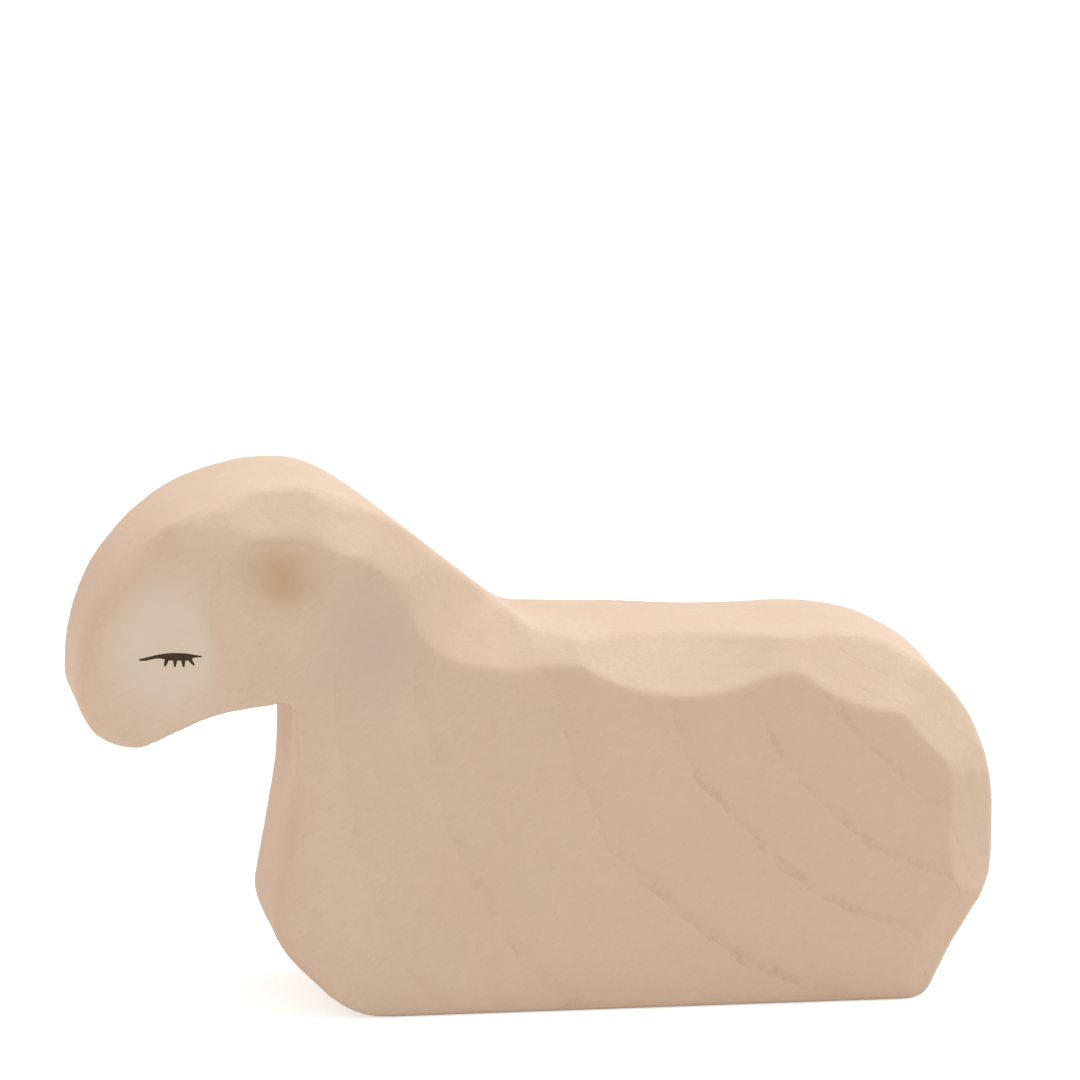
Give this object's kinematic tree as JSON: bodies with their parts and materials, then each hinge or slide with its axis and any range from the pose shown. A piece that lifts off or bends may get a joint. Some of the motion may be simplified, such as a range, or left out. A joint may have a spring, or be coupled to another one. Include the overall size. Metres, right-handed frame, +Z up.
{
  "type": "wooden sheep figurine",
  "caption": "Lying sheep carved from one plank of pale wood, with scalloped cuts along its back, a gouged ear and painted closed eyes; stands on its flat belly.",
  "frame": {"origin": "on the ground, under the middle of the figure's length and thickness", "axes": "+Z up; the nose points along -X and the rump along +X; the sheep's left side faces -Y"},
  "size_m": [0.092, 0.022, 0.0535],
  "materials": {
    "wood": "sanded, unvarnished",
    "eye_paint": "matt water-based paint, brushed"
  },
  "bodies": {
    "root": {"carved_body": "wood", "left_eyelid": "eye_paint", "left_eyelashes": "eye_paint", "right_eyelid": "eye_paint", "right_eyelashes": "eye_paint"}
  },
  "joints": []
}
